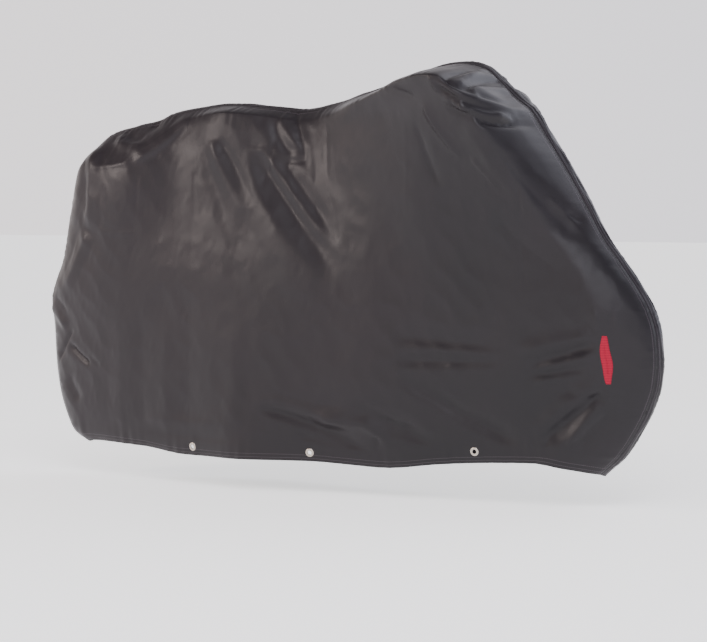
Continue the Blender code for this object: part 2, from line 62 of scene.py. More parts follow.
# %% Outline tables
TOP_SEAM = np.array([
    (-800, 936), (-735, 983), (-650, 1006), (-567, 1022), (-525, 1039),
    (-443, 1054), (-322, 1064), (-203, 1056), (-86, 1045), (-9, 1055),
    (105, 1086), (217, 1119), (290, 1144), (399, 1163), (470, 1148), (520, 1108),
]) / 1000
REAR_SEAM = np.array([
    (100, -825), (125, -868), (158, -888), (245, -919), (330, -932),
    (430, -938), (508, -947), (577, -924), (620, -904), (750, -872),
    (890, -834), (936, -800),
]) / 1000
FRONT_SEAM = np.array([
    (92, 806), (142, 860), (206, 905), (269, 938), (331, 958), (390, 963),
    (454, 958), (516, 940), (576, 905), (637, 861), (699, 813), (792, 760),
    (886, 703), (981, 640), (1037, 603), (1066, 565), (1108, 520),
]) / 1000
HEM_EDGE = np.array([
    (-825, 100), (-745, 103), (-587, 100), (-420, 87), (-290, 88),
    (0, 92), (200, 84), (375, 102), (544, 115), (650, 119),
    (741, 106), (806, 92),
]) / 1000
ORIGIN = np.array([0.399, 0.0, 1.169])
STRIP_HALF = 0.022        # half the strip's width, seam to seam
STRIP_CROWN = 0.008       # how far the strip bulges between its seams
BAND_HEIGHT = 0.050       # height of the zone that holds the eyelets
SEAM_ROOM = 0.0003        # gap left between a panel and the strip
PANEL_LENGTH = 1.75       # turns a share a into a distance from the rear or front seam
print("outline:", sum(len(table) for table in (TOP_SEAM, REAR_SEAM, FRONT_SEAM, HEM_EDGE)), "places")


# %% A curve that never overshoots
def smooth(places, values, at):
    """Cubic through the values: each slope is the weighted harmonic mean of the two secants
    beside it, or 0 where they change sign, so the curve stays between its points."""
    places, values, at = (np.asarray(part, dtype=float) for part in (places, values, at))
    step = np.diff(places, axis=0)
    secant = np.diff(values, axis=0) / step
    left, right = 2 * step[1:] + step[:-1], step[1:] + 2 * step[:-1]
    same = secant[:-1] * secant[1:] > 0
    first, second = np.where(same, secant[:-1], 1.0), np.where(same, secant[1:], 1.0)
    slope = np.zeros_like(values)
    slope[1:-1] = np.where(same, (left + right) / (left / first + right / second), 0.0)
    slope[0], slope[-1] = secant[0], secant[-1]
    result = values[0] + np.zeros_like(at)
    for k in range(len(step)):
        t = np.clip((at - places[k]) / step[k], 0.0, 1.0)
        piece = ((1 + 2 * t) * (1 - t) ** 2 * values[k] + t * (1 - t) ** 2 * step[k] * slope[k]
                 + t * t * (3 - 2 * t) * values[k + 1] + t * t * (t - 1) * step[k] * slope[k + 1])
        result = np.where(at >= places[k], piece, result)
    return result


def along(table, share):
    """The table's curve at a share of the way along its first column."""
    first = table[0, 0] + share * (table[-1, 0] - table[0, 0])
    return first, smooth(table[:, 0], table[:, 1], first)


def plan_place(a, b):
    """Coons patch: the blend of the hem and top edges, plus the blend of the rear and front
    edges, less the blend of the four corners. Gives x and z."""
    top, hem = along(TOP_SEAM, a), along(HEM_EDGE, a)
    rear, front = along(REAR_SEAM, b)[::-1], along(FRONT_SEAM, b)[::-1]
    shares = ((1 - a) * (1 - b), a * (1 - b), (1 - a) * b, a * b)
    ends = (HEM_EDGE[0], HEM_EDGE[-1], TOP_SEAM[0], TOP_SEAM[-1])
    return tuple((1 - b) * hem[i] + b * top[i] + (1 - a) * rear[i] + a * front[i]
                 - sum(share * end[i] for share, end in zip(shares, ends)) for i in (0, 1))


# %% [markdown]
# The fullness
#
# Seen from the front the cover is a flat tent: narrow at the seams, wider over rack, saddle and
# pedals, and pushed out by the grips. A row of the table is a cross-section: the half-width at the
# shoulder, at three levels and at the hem, joined by a curve up the height.

# %% Cross-sections: where they meet the top seam, shoulder drop, then half-widths going down
SECTIONS = [
    (-800, 60, 22, 22, 22, 22, 22),         # rear seam
    (-785, 75, 55, 54, 46, 43, 38),         # rounding behind
    (-735, 90, 100, 98, 82, 70, 58),        # rear corner
    (-610, 105, 115, 130, 120, 105, 85),    # over the luggage rack
    (-430, 30, 60, 105, 132, 135, 125),     # behind the saddle
    (-300, 22, 85, 108, 145, 158, 160),     # saddle
    (-70, 30, 55, 112, 150, 158, 115),      # valley over the top tube
    (180, 34, 165, 165, 150, 140, 100),     # rising to the grips
    (425, 44, 280, 200, 120, 105, 92),      # grips
    (490, 60, 150, 105, 70, 62, 55),        # falling to the front wheel
    (510, 50, 70, 55, 45, 40, 36),          # rounding in front
    (520, 40, 22, 22, 22, 22, 22),          # front seam
]
LEFT_SECTIONS = {          # the left grip hangs lower and stands out less
    180: (180, 44, 140, 150, 145, 140, 100),
    425: (388, 90, 232, 180, 122, 107, 93),
    490: (462, 110, 90, 94, 74, 66, 60),
    510: (510, 100, 36, 45, 42, 40, 36),
}
LEVELS = (0.25, 0.5, 0.75)  # shares of the height at which the table's three middle half-widths stand


def section_values(a, side):
    """Drop and half-widths at a: each column of the table as a curve along the bicycle."""
    table = np.array([LEFT_SECTIONS.get(row[0], row) if side > 0 else row for row in SECTIONS]) / 1000
    place = (table[:, 0] - table[0, 0]) / (table[-1, 0] - table[0, 0])
    return [smooth(place, table[:, k], a) for k in range(1, 7)]


def panel_height(a):
    return along(TOP_SEAM, a)[1] - along(HEM_EDGE, a)[1]


def base_point(a, b, side):
    """Cloth without creases: the plan's x and z, and a half-width that is a curve up the height."""
    drop, shoulder, high, belly, low, hem = section_values(a, side)
    one = np.ones_like(a)
    heights = np.array([0 * one, *(level * one for level in LEVELS), 1 - drop / panel_height(a), one])
    widths = np.array([hem, low, belly, high, shoulder, STRIP_HALF * one])
    x, z = plan_place(a, b)
    return np.stack([x, side * smooth(heights, widths, b), z], axis=-1)


def outward(a, b, side, step=0.001):
    """Unit normal: the cross product of the steps along a and along b."""
    run = base_point(a + step, b, side) - base_point(a - step, b, side)
    rise = base_point(a, b + step, side) - base_point(a, b - step, side)
    normal = np.cross(run, rise) * -side
    return normal / np.linalg.norm(normal, axis=-1, keepdims=True)


# %% [markdown]
# Folds and creases
#
# Coated cloth holds two kinds of mark. Where the saddle, the grips or the wheels carry it, it hangs in
# flat planes that meet along a line, so a main fold is a tent: a crest or a valley with two straight
# flanks. Packing and pulling seams leave fine creases, which come to a point. Both are written as rows:
# a start, a middle and an end, a half-width at each end, how far the fold stands out (or lies in, if
# minus) and how strong it is on the left side. Lean makes the flank on the left hand of someone who
# walks along the fold wider, and the other one narrower, by that share; without it they are alike.

# %% Main folds: start, middle, end as x z; half-widths; depth; strength on the left side; lean
MAIN_FOLDS = [
    # rear corner and rack
    (-762, 955, -738, 862, -752, 690, 34, 38, 11, 0.8, 0.2),    # corner ridge
    (-748, 715, -790, 642, -865, 525, 36, 28, 8, 0.8),          # its lower end
    (-735, 915, -670, 930, -600, 935, 42, 34, -8, 0.8),         # sunk rack cloth
    (-695, 980, -631, 950, -566, 946, 18, 16, 4, 0.0),          # crescent
    (-655, 992, -615, 972, -575, 984, 16, 14, -5, 0.0),         # dent above it
    (-597, 905, -515, 953, -424, 1038, 22, 30, 8, 0.6, 0.3),    # rack to saddle
    (-942, 500, -900, 462, -850, 430, 26, 20, 7, 0.6),          # lit facet
    (-862, 295, -842, 255, -812, 215, 28, 24, -6, 0.0),         # lower dent
    # fan under the saddle
    (-367, 968, -330, 864, -262, 740, 22, 44, -4, 0.8),
    (-343, 973, -298, 883, -180, 700, 22, 60, 8, 0.8, -0.1),
    (-320, 974, -270, 905, -200, 810, 20, 34, -6, 0.8),
    (-222, 950, -128, 757, 129, 516, 40, 100, 11, 0.8, -0.25),
    (-210, 940, -91, 797, 139, 536, 32, 68, -11, 0.8, -0.25),
    (-152, 922, -76, 823, 92, 664, 18, 34, 4, 0.8),
    (-134, 930, -44, 836, 92, 680, 24, 34, -7, 0.8, 0.1),
    (-160, 1028, -120, 961, -67, 917, 18, 22, -7, 0.5),         # pleat at the nose
    (-138, 1036, -98, 984, -50, 938, 16, 20, 5, 0.5),
    (-114, 915, -71, 911, -31, 913, 13, 11, -5, 0.0, -0.4),
    # grips to the front seam
    (448, 1121, 554, 1068, 606, 1035, 7, 10, -7, 0.7, 0.2),
    (440, 1116, 553, 1056, 612, 1027, 7, 13, 6, 0.7),
    (432, 1111, 528, 1054, 587, 1021, 7, 11, -7, 0.7),
    (450, 1081, 550, 1029, 612, 1010, 15, 14, 8, 0.7),
    (466, 1043, 575, 1009, 634, 993, 13, 12, -9, 0.7, -0.2),
    # along the front
    (520, 1005, 590, 893, 752, 705, 45, 62, 9, 0.8, 0.1),
    (580, 966, 668, 829, 792, 684, 26, 46, -11, 0.8, -0.1),
    # beside the front wheel
    (250, 442, 420, 430, 600, 417, 36, 32, -6, 0.6, 0.5),
    (270, 410, 420, 404, 590, 400, 22, 22, 4, 0.6),
    (260, 376, 425, 381, 600, 386, 28, 24, -7, 0.6, 0.3),
    (620, 404, 730, 437, 845, 454, 28, 20, 7, 0.7, 0.2),
    (630, 366, 740, 404, 845, 440, 26, 20, -10, 0.7, 0.2),
    (640, 364, 745, 386, 842, 409, 20, 18, 7, 0.7),
    (630, 352, 735, 361, 828, 375, 22, 17, -8, 0.7, 0.2),
    (650, 334, 748, 354, 842, 386, 18, 16, 5, 0.7),
    (735, 320, 780, 304, 826, 288, 16, 14, -6, 0.0),
    (270, 345, 452, 242, 645, 146, 52, 44, -15, 0.9, 0.5),
    (300, 362, 470, 276, 660, 190, 40, 36, 5, 0.9),
    (170, 214, 282, 177, 395, 158, 30, 24, -9, 0.9, 0.3),
    (662, 168, 772, 252, 880, 336, 26, 34, -14, 0.8, -0.3),
    (650, 190, 752, 278, 850, 345, 24, 30, 7, 0.8, 0.2),
    (682, 186, 694, 161, 710, 140, 13, 11, -8, 0.6),
    (762, 150, 807, 208, 872, 272, 26, 30, -12, 0.8, -0.2),
    (742, 160, 790, 228, 846, 284, 22, 24, 6, 0.8),
    # between the wheels, near the hem
    (-160, 240, 10, 190, 220, 108, 28, 26, -14, 0.6, 0.4),
    (-170, 256, -20, 232, 140, 200, 26, 30, 8, 0.6),
    (0, 196, 130, 208, 250, 178, 34, 34, 11, 0.6, 0.2),
    (-56, 168, 55, 144, 180, 118, 20, 18, -9, 0.6, 0.2),
    (-36, 143, 85, 131, 190, 111, 16, 14, 6, 0.6),
    (125, 232, 236, 215, 350, 170, 34, 32, -10, 0.6, 0.3),
    # upright planes beside the rear wheel
    (-640, 520, -647, 300, -664, 120, 50, 45, 3, 0.9),
    (-560, 500, -565, 300, -570, 130, 40, 40, -3, 0.9),
    (-474, 480, -481, 300, -486, 130, 40, 40, 3, 0.9),
    (-385, 560, -391, 330, -396, 140, 40, 44, -3, 0.9),
    (-235, 500, -233, 320, -234, 150, 50, 44, 3, 0.9),
]

# %% Creases: the same columns, for the finer marks
CREASES = [
    # packing creases, straight up and down
    (-575, 880, -576, 825, -577, 770, 6, 6, -2.2, 0.6),
    (-392, 990, -390, 800, -388, 600, 6, 6, -1.6, 1.0),
    (325, 1030, 316, 900, 308, 770, 6, 6, 1.4, 1.0),
    # rack and rear corner
    (-745, 893, -670, 899, -600, 907, 7, 7, 4, 0.7),
    (-700, 961, -620, 957, -550, 951, 8, 8, 3, 0.0),
    (-700, 973, -680, 976, -660, 974, 14, 13, 4.5, 0.0),
    (-585, 1008, -570, 1012, -555, 1008, 10, 10, -5, 0.0),
    (-760, 880, -762, 820, -758, 750, 7, 7, -3, 0.5),
    (-915, 520, -880, 500, -850, 470, 7, 7, -3, 0.4),
    (-720, 720, -640, 705, -560, 715, 9, 9, 1.8, 0.5),
    (-594, 900, -506, 947, -420, 1030, 6, 6, -3, 0.6),
    (-853, 386, -807, 351, -760, 326, 9, 7, -11, 0.0),
    (-828, 428, -866, 384, -917, 316, 8, 8, -6, 0.0),
    (-775, 352, -745, 338, -726, 323, 6, 6, -3, 0.0),
    # under the saddle
    (-104, 1050, -93, 1028, -87, 1008, 9, 6, -5, 0.0),
    (-140, 988, -149, 916, -174, 832, 6, 6, -2.5, 0.5),
    (-222, 948, -168, 934, -116, 855, 6, 7, 2.5, 0.5),
    (12, 1040, 32, 934, 40, 840, 6, 6, -2.4, 1.0),
    (44, 838, 70, 761, 86, 682, 6, 6, -1.6, 1.0),
    (-9, 945, 1, 843, 14, 740, 6, 6, -1.2, 1.0),
    (-225, 958, -200, 953, -172, 944, 6, 6, -3, 0.0),
    (-218, 943, -195, 939, -168, 930, 6, 6, 2.5, 0.0),
    (-85, 986, -60, 958, -30, 929, 6, 6, -2.8, 0.0),
    # puckers in front of the grips
    (502, 1109, 488, 1127, 470, 1145, 9, 8, 8, 0.6),
    (584, 1026, 588, 1014, 594, 1004, 6, 6, 7, 0.5),
    (602, 1024, 603, 1018, 608, 1006, 6, 6, -7, 0.5),
    (496, 1064, 499, 1050, 499, 1032, 6, 6, -4.4, 0.5),
    (521, 1054, 527, 1040, 525, 1027, 6, 6, 4.4, 0.5),
    (540, 1043, 543, 1029, 548, 1018, 6, 6, -4.4, 0.5),
    (435, 1120, 450, 1100, 462, 1074, 9, 8, 8, 0.6),
    (468, 1136, 480, 1118, 492, 1098, 7, 6, -8, 0.6),
    (488, 1131, 500, 1112, 514, 1090, 7, 6, 8, 0.6),
    (508, 1119, 520, 1100, 531, 1078, 7, 6, -8, 0.6),
    (525, 1098, 538, 1080, 552, 1062, 7, 6, 7, 0.6),
    (265, 1097, 314, 1087, 392, 1061, 7, 6, -4.4, 0.6),
    (555, 1000, 585, 997, 622, 993, 7, 6, -10, 0.5),
    (400, 1060, 430, 990, 500, 900, 14, 16, 8, 0.8),
    (360, 1020, 380, 930, 420, 830, 12, 16, -6, 0.8),
    # along the front
    (516, 915, 550, 880, 594, 829, 9, 10, 5, 0.6),
    (640, 852, 643, 805, 645, 758, 6, 6, -2.5, 0.4),
    (740, 775, 755, 760, 775, 748, 8, 6, -5, 0.4),
    (700, 812, 735, 775, 775, 722, 8, 9, 4.5, 0.6),
    (560, 780, 640, 690, 760, 600, 14, 18, -3, 0.8),
    # beside the front wheel
    (830, 465, 812, 485, 790, 505, 6, 7, -3, 0.6),
    (838, 468, 832, 497, 822, 525, 6, 7, 3, 0.6),
    (850, 466, 860, 490, 868, 518, 6, 7, -3, 0.6),
    (845, 318, 830, 303, 808, 288, 6, 7, -3, 0.6),
    (854, 314, 852, 292, 848, 268, 6, 7, 3, 0.6),
    (866, 318, 878, 303, 892, 288, 6, 7, -3, 0.6),
    # hem between the wheels
    (-600, 148, -400, 137, -200, 142, 18, 16, -5, 0.7),
    (-600, 185, -420, 178, -240, 182, 22, 20, 3.5, 0.7),
    (90, 142, 140, 134, 190, 121, 9, 8, -6, 0.4),
    (197, 172, 203, 148, 196, 120, 9, 8, -6, 0.4),
    (112, 185, 130, 198, 152, 205, 8, 7, 3.5, 0.3),
    (210, 215, 260, 203, 315, 188, 10, 12, -4, 0.5),
    # gathers at the front of the hem
    (628, 181, 622, 154, 626, 130, 9, 8, -5, 0.9),
    (638, 186, 637, 158, 646, 130, 9, 8, 4.5, 0.9),
    (650, 190, 656, 159, 666, 127, 9, 8, -5, 0.9),
    (692, 176, 700, 152, 712, 126, 10, 8, 5, 0.9),
    (733, 182, 743, 158, 744, 129, 9, 8, -5, 0.9),
    (745, 185, 755, 160, 756, 132, 9, 8, 4.5, 0.9),
    (756, 187, 767, 163, 766, 135, 9, 8, -5, 0.9),
    # front seam and roof corner
    (649, 865, 636, 702, 650, 547, 7, 7, -1.8, 0.6),
    (849, 653, 867, 629, 889, 596, 8, 7, -4, 0.6),
    (909, 571, 931, 535, 947, 496, 8, 7, -4, 0.6),
    (-99, 1045, -70, 979, -22, 879, 8, 10, -3.5, 0.4),
]


# %% Relief of a list of folds
FOLD_STEPS = 32           # steps along a fold's path
FOLD_END = 0.24           # share of a fold's length over which it rises at each end
CREASE_SOFT = 0.2         # share of a crease's depth that is rounded
CREASE_FALL = 1.5         # the rest falls to 1/e over the width divided by this
print(len(MAIN_FOLDS), "main folds and", len(CREASES), "creases")


def ramp(distance, room):
    """0 at no distance, 1 past the room, and smooth between."""
    t = np.clip(distance / room, 0, 1)
    return t * t * (3 - 2 * t)


def tent(distance, width, sharp=0.13):
    """Nearly 1 on the fold's line and 0 past its width, straight between, with its corners rounded
    by the square root of a sum of squares."""
    fall = 1 - np.hypot(distance / width, sharp)
    return (fall + np.hypot(fall, sharp)) / 2


def point_of(distance, width):
    """1 on the fold's line: a rounded part, and an exponential fall that leaves a sharp edge."""
    away = distance / width
    return CREASE_SOFT * np.exp(-away ** 2) + (1 - CREASE_SOFT) * np.exp(-CREASE_FALL * away)


def fold_relief(x, z, folds, side, profile, reach):
    """Sum over the folds of depth times the profile of the distance to the fold's path, which is a
    quadratic curve in steps. The distance is taken to the tangent at the nearest step, and a point's
    hand is the side of that tangent on which it lies."""
    total = np.zeros_like(x)
    shares = np.linspace(0, 1, FOLD_STEPS + 1)
    for fold in folds:
        start, middle, end = np.reshape(fold[:6], (3, 2)) / 1000
        width0, width1, depth = np.array(fold[6:9]) / 1000
        left, lean = (*fold[9:], 0.0)[:2]
        depth *= left if side > 0 else 1.0
        pull = 2 * middle - (start + end) / 2
        t = shares[:, None]
        path = (1 - t) ** 2 * start + 2 * t * (1 - t) * pull + t * t * end
        run = np.gradient(path, axis=0)
        stride = np.hypot(run[:, 0], run[:, 1])
        room = reach * max(width0, width1)
        low, high = path.min(axis=0) - room, path.max(axis=0) + room
        near = (x > low[0]) & (x < high[0]) & (z > low[1]) & (z < high[1])
        off_x, off_z = x[near][:, None] - path[:, 0], z[near][:, None] - path[:, 1]
        nearest = np.argmin(off_x ** 2 + off_z ** 2, axis=1)
        row = np.arange(len(nearest))
        off_x, off_z = off_x[row, nearest], off_z[row, nearest]
        step = stride[nearest]
        run_x, run_z = run[nearest, 0] / step, run[nearest, 1] / step
        ahead, aside = run_x * off_x + run_z * off_z, run_x * off_z - run_z * off_x
        slide = np.clip(ahead, -step / 2, step / 2)
        share = np.clip(shares[nearest] + slide / step / FOLD_STEPS, 0, 1)
        width = (width0 + (width1 - width0) * share) * (1 + lean * np.sign(aside))
        fade = ramp(share, FOLD_END) * ramp(1 - share, FOLD_END)
        total[near] += depth * fade * profile(np.hypot(aside, ahead - slide), width)
    return total


# %% [markdown]
# Small unevenness
#
# No cloth is smooth between its folds. Four patterns stand for that: a broad swell, a slow wave along
# the hem, soft facets left by the packing, and short puckers that run in from each seam and the hem,
# where the thread draws the cloth in. All are sine waves with fixed seeds, so each run is alike.

# %% Waves
def waves(x, z, wavelength, seed, count=7, spread=(0.7, 1.4), scale=1.5):
    """Sum of plane waves of about one wavelength in random directions, mostly from -1 to 1."""
    draw = np.random.default_rng(seed)
    angles = draw.uniform(0, math.pi, count)
    lengths = wavelength * draw.uniform(*spread, count)
    phases = draw.uniform(0, math.tau, count)
    total = sum(np.sin(math.tau * (x * math.cos(angle) + z * math.sin(angle)) / length + phase)
                for angle, length, phase in zip(angles, lengths, phases))
    return total / count ** 0.5 / scale


def facets(x, z, wavelength, seed):
    """Soft flats that meet in creases: one less twice the size of a wave pattern."""
    return 1 - 2 * np.abs(waves(x, z, wavelength, seed))


def puckers(run, seed, pitch=0.021, slower=6.3, second=1.63, share=0.6):
    """Short gathers along a seam: two waves of the run length, under a slower one that spaces them."""
    draw = np.random.default_rng(seed)
    shifts = draw.uniform(0, math.tau, 4)
    beat = 0.5 + 0.5 * np.sin(math.tau * run / (slower * pitch) + shifts[0])
    return beat * (share * np.sin(math.tau * run / pitch + shifts[1])
                   + (1 - share) * np.sin(math.tau * run / (second * pitch) + shifts[2]))


# %% [markdown]
# Eyelets and lock patch
#
# The hem has three nickel eyelets a side, for a lock or a cord, and a red oval of webbing marks where
# the lock goes. Both keep the cloth flat around them. The eyelets' places come from the solid model.

# %% Places of the eyelets and patches
PLACES = ("rear", "middle", "front")
EYELETS = [(side, place) for side in (-1, 1) for place in PLACES]
EYELET_FLAT = 0.026       # the cloth lies in an eyelet's plane this far around it
EYELET_HOLE = 0.0094      # radius of the hole in the cloth
PATCH_X, PATCH_Z = 0.854, 0.396
PATCH_LENGTH, PATCH_WIDTH = 0.124, 0.027
PATCH_END = 0.45          # width of the patch's blunt ends, as a share of its width
PATCH_LEAN = 0.06         # how far its foot leans to the front, as a share of its length
PATCH_STIFF = 0.032       # the cloth has no folds this far around its middle line
CLOTH_BODY = 0.0011       # thickness of the cloth as it is drawn
NEWTON_STEPS = 12
LOOSE = -0.2, 1.2         # shares may pass the panel's edges this far while they are looked for


def node_middle(node):
    low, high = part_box(node)
    return (np.array(low) + np.array(high)) / 2 + ORIGIN


def side_name(side):
    return "left" if side > 0 else "right"


def locate(x, z, step=0.001):
    """(a, b) of the plan's point x, z, by Newton steps from a guess over a panel of 1.8 m by 1 m."""
    a, b = (np.asarray(x, dtype=float) + 0.9) / 1.8, (np.asarray(z, dtype=float) - 0.1)
    for _ in range(NEWTON_STEPS):
        here = plan_place(a, b)
        slope_a = [(there - at) / step for there, at in zip(plan_place(a + step, b), here)]
        slope_b = [(there - at) / step for there, at in zip(plan_place(a, b + step), here)]
        off_x, off_z = x - here[0], z - here[1]
        area = slope_a[0] * slope_b[1] - slope_b[0] * slope_a[1]
        a = np.clip(a + (slope_b[1] * off_x - slope_b[0] * off_z) / area, *LOOSE)
        b = np.clip(b + (slope_a[0] * off_z - slope_a[1] * off_x) / area, *LOOSE)
    return a, b


def eyelet_pose(side, place):
    """Middle of the eyelet and the cloth's outward normal there."""
    middle = node_middle(f"eyelet_{side_name(side)}_{place}")
    a, b = locate(np.array([middle[0]]), np.array([middle[2]]))
    return middle, outward(a, b, side)[0]


# %% The whole cloth surface
UNEVEN = [                # pattern, height, wavelength, seed, fade to the seams, whether the hem holds it
    (waves, 0.0020, 0.26, 11, 0.06, False),
    (facets, 0.0009, 0.130, 12, 0.03, True),
    (facets, 0.00028, 0.050, 13, 0.02, True),
]
SEAM_PUCKER, SEAM_REACH, SEAM_FADE = 0.0022, 0.022, 0.008     # height, how far they run in, flat edge
HEM_PUCKER, HEM_REACH, HEM_PITCH = 0.0016, 0.030, 0.034
HEM_FOLD = 0.014          # the hem's puckers are fullest up to here
HEM_WAVE, HEM_WAVE_REACH, HEM_WAVE_LENGTH = 0.0050, 0.09, 0.17
STIFF, STIFF_FADE = 0.030, 0.050  # the folded hem holds the cloth up to here, and then less and less
STIFF_SHARE = 0.15        # share of a fold's depth that is left at the hem


def from_edges(a, b):
    """Distances to the nearer of the rear and front seams, to the top seam and to the hem."""
    height = panel_height(a)
    return np.minimum(a, 1 - a) * PANEL_LENGTH, (1 - b) * height, b * height


def cloth_point(a, b, side, lift=0.0):
    """The cloth with all its marks. Each mark moves a point along the base surface's normal, and
    the marks fade towards the seams, the eyelets and the patch."""
    base, normal = base_point(a, b, side), outward(a, b, side)
    x, z = base[..., 0], base[..., 2]
    ends, top, above_hem = from_edges(a, b)
    seam = np.minimum(ends, top)
    body = ramp(above_hem - STIFF, STIFF_FADE)

    relief = fold_relief(x, z, MAIN_FOLDS, side, tent, 1.6) * ramp(seam, 0.018)
    relief += fold_relief(x, z, CREASES, side, point_of, 3.2) * ramp(seam, 0.010)
    relief *= STIFF_SHARE + (1 - STIFF_SHARE) * body
    for pattern, height, wavelength, seed, fade, held in UNEVEN:
        relief += height * pattern(x, z, wavelength, seed) * ramp(seam, fade) * (body if held else 1)

    run = np.where(top < ends, x, z)
    drawn = np.exp(-seam / SEAM_REACH) * ramp(seam, SEAM_FADE)
    relief += SEAM_PUCKER * puckers(run, 21 + side) * drawn
    drawn = np.exp(-np.maximum(above_hem - HEM_FOLD, 0) / HEM_REACH) * ramp(seam, 0.02)
    relief += HEM_PUCKER * puckers(x, 31 + side, HEM_PITCH) * drawn
    drawn = np.exp(-above_hem / HEM_WAVE_REACH) * ramp(seam, 0.08)
    relief += HEM_WAVE * waves(x, 0 * x, HEM_WAVE_LENGTH, 14) * drawn

    down = np.clip(PATCH_Z - z, -PATCH_LENGTH / 2, PATCH_LENGTH / 2)
    away = np.hypot(x - PATCH_X - PATCH_LEAN * down, z - PATCH_Z + down)
    relief *= 1 - np.exp(-(away / PATCH_STIFF) ** 4)

    point = base + normal * relief[..., None]
    for place in PLACES:
        middle, facing = eyelet_pose(side, place)
        offset = middle - base
        away = np.linalg.norm(offset, axis=-1)
        near = np.exp(-(away / EYELET_FLAT) ** 4)[..., None]
        level = (offset @ facing - CLOTH_BODY / 2)[..., None] * facing
        point = point * (1 - near) + (base + level) * near
    return point + normal * lift


# %% Print the eyelets' places and facings
for side, place in EYELETS:
    middle, facing = eyelet_pose(side, place)
    print("eyelet", side_name(side), place, np.round(middle, 3), "faces", np.round(facing, 2))

# %% [markdown]
# The cloth's mesh
#
# The panel is a grid over (a, b). Its columns crowd towards the seams, where the cloth turns quickly,
# and around the eyelets. Its rows are shared out between the hem, the wall and the roof above the
# shoulder. A Solidify modifier then gives the sheet its thickness.

# %% Grid places
COLUMNS, HEM_ROWS, WALL_ROWS, ROOF_ROWS = 292, 9, 120, 24
CROWD_ENDS = 0.30         # how much closer the columns stand at the seams
CROWD_EYELET, CROWD_WIDTH = 0.62, 0.017   # the same at an eyelet, and over which share of the length


def column_places(side):
    """Even shares, drawn towards both ends, then drawn towards each eyelet."""
    t = np.linspace(0, 1, COLUMNS + 1)
    a = t - CROWD_ENDS * np.sin(math.tau * t) / math.tau
    for place in PLACES:
        middle, _ = eyelet_pose(side, place)
        off = a - float(locate(middle[0], middle[2])[0])
        a -= CROWD_EYELET * off * np.exp(-(off / CROWD_WIDTH) ** 2)
    return a


def row_places(a, side):
    """Shares of the height: hem, wall and roof, each in even steps."""
    low = BAND_HEIGHT / panel_height(a)
    high = 1 - section_values(a, side)[0] / panel_height(a)
    hem = low * np.linspace(0, 1, HEM_ROWS + 1)[:, None]
    wall = low + (high - low) * np.linspace(0, 1, WALL_ROWS + 1)[1:, None]
    roof = high + (1 - high) * np.linspace(0, 1, ROOF_ROWS + 1)[1:, None]
    return np.concatenate([hem, wall, roof])


# %% From a grid of points to a mesh
def grid_faces(rows, columns):
    """Quads of a grid whose points are listed row by row."""
    corner = (np.arange(rows - 1)[:, None] * columns + np.arange(columns - 1)).ravel()
    return np.stack([corner, corner + 1, corner + columns + 1, corner + columns], axis=1)


def add_object(name, data):
    thing = bpy.data.objects.new(name, data)
    bpy.context.collection.objects.link(thing)
    return thing


def new_piece(name, points, faces, layers=None):
    """Mesh object from arrays, with a UV map for each named layer of per-point (u, v) in metres.
    The points move to the frame's origin."""
    mesh = bpy.data.meshes.new(name)
    mesh.from_pydata((points.reshape(-1, 3) - ORIGIN).tolist(), [], faces.tolist())
    for layer, places in (layers or {}).items():
        corners = np.zeros(len(mesh.loops), dtype=np.int32)
        mesh.loops.foreach_get("vertex_index", corners)
        uv = mesh.uv_layers.new(name=layer).data
        uv.foreach_set("uv", places.reshape(-1, 2)[corners].astype(np.float32).ravel())
    mesh.shade_smooth()
    return add_object(name, mesh)


def thicken(piece, offset):
    """Solidify: the cloth's thickness lies outside the faces with offset 1, and inside with -1."""
    body = piece.modifiers.new("cloth body", "SOLIDIFY")
    body.thickness, body.offset = CLOTH_BODY, offset


# %% Side cloths
def side_cloth(side):
    """The grid over (a, b), less the faces in the eyelets' holes, wound so that it faces outward. The
    weave map is in metres along x and up the cloth; the seams map is run and distance to the seam."""
    a = column_places(side)
    rows = row_places(a, side)
    grid_a = np.broadcast_to(a, rows.shape)
    points = cloth_point(grid_a, rows, side)
    points[..., 1] += side * SEAM_ROOM
    ends, top, up = from_edges(grid_a, rows)
    seam = np.minimum(ends, top)
    run = np.where(top <= seam + 1e-9, points[..., 0], points[..., 2])
    layers = {
        "weave": np.stack([points[..., 0], up], axis=-1),
        "seams": np.stack([run, seam], axis=-1),
    }
    faces = grid_faces(*rows.shape)
    middles = points.reshape(-1, 3)[faces].mean(axis=1)
    keep = np.ones(len(faces), dtype=bool)
    for place in PLACES:
        middle, _ = eyelet_pose(side, place)
        keep &= np.linalg.norm(middles - middle, axis=1) > EYELET_HOLE
    faces = faces[keep]
    if side > 0:
        faces = faces[:, ::-1]
    piece = new_piece(f"side_cloth_{side_name(side)}", points, faces, layers)
    thicken(piece, 1)
    print(piece.name, len(faces), "quads,", (~keep).sum(), "cut out for eyelets")
    return piece


side_cloths = {side: side_cloth(side) for side in (-1, 1)}

# %% [markdown]
# The centre strip
#
# The strip is sewn in face to face with both panels, so each seam is a small valley, and the strip
# between them is gathered: where it turns a corner it has more length than the panels' edges, and the
# surplus stands in short slanted wrinkles.

# %% Seam line and strip
STRIP_STEPS, STRIP_ROWS = 1180, 22
STRIP_LAP = 0.0008        # the strip goes this far past each seam line
SMOOTHING = 25            # points over which the strip's heading is smoothed
CORNER_FROM, CORNER_ROOM = 0.5, 3.0       # turn in radians a metre where gathers start, and their rise
GATHER, CORNER_GATHER, FINE_GATHER = 0.0003, 0.0004, 0.00015
SLANT, SLANT_TURNS = 0.010, 9.0           # the gathers slant by this much, one way and the other
SEAM_DIP, SEAM_DIP_WIDTH = 0.0012, 0.10   # valley at each seam; its width is a share of half the strip
STRIP_WAVE, STRIP_WAVE_LENGTH = 0.0015, 0.12


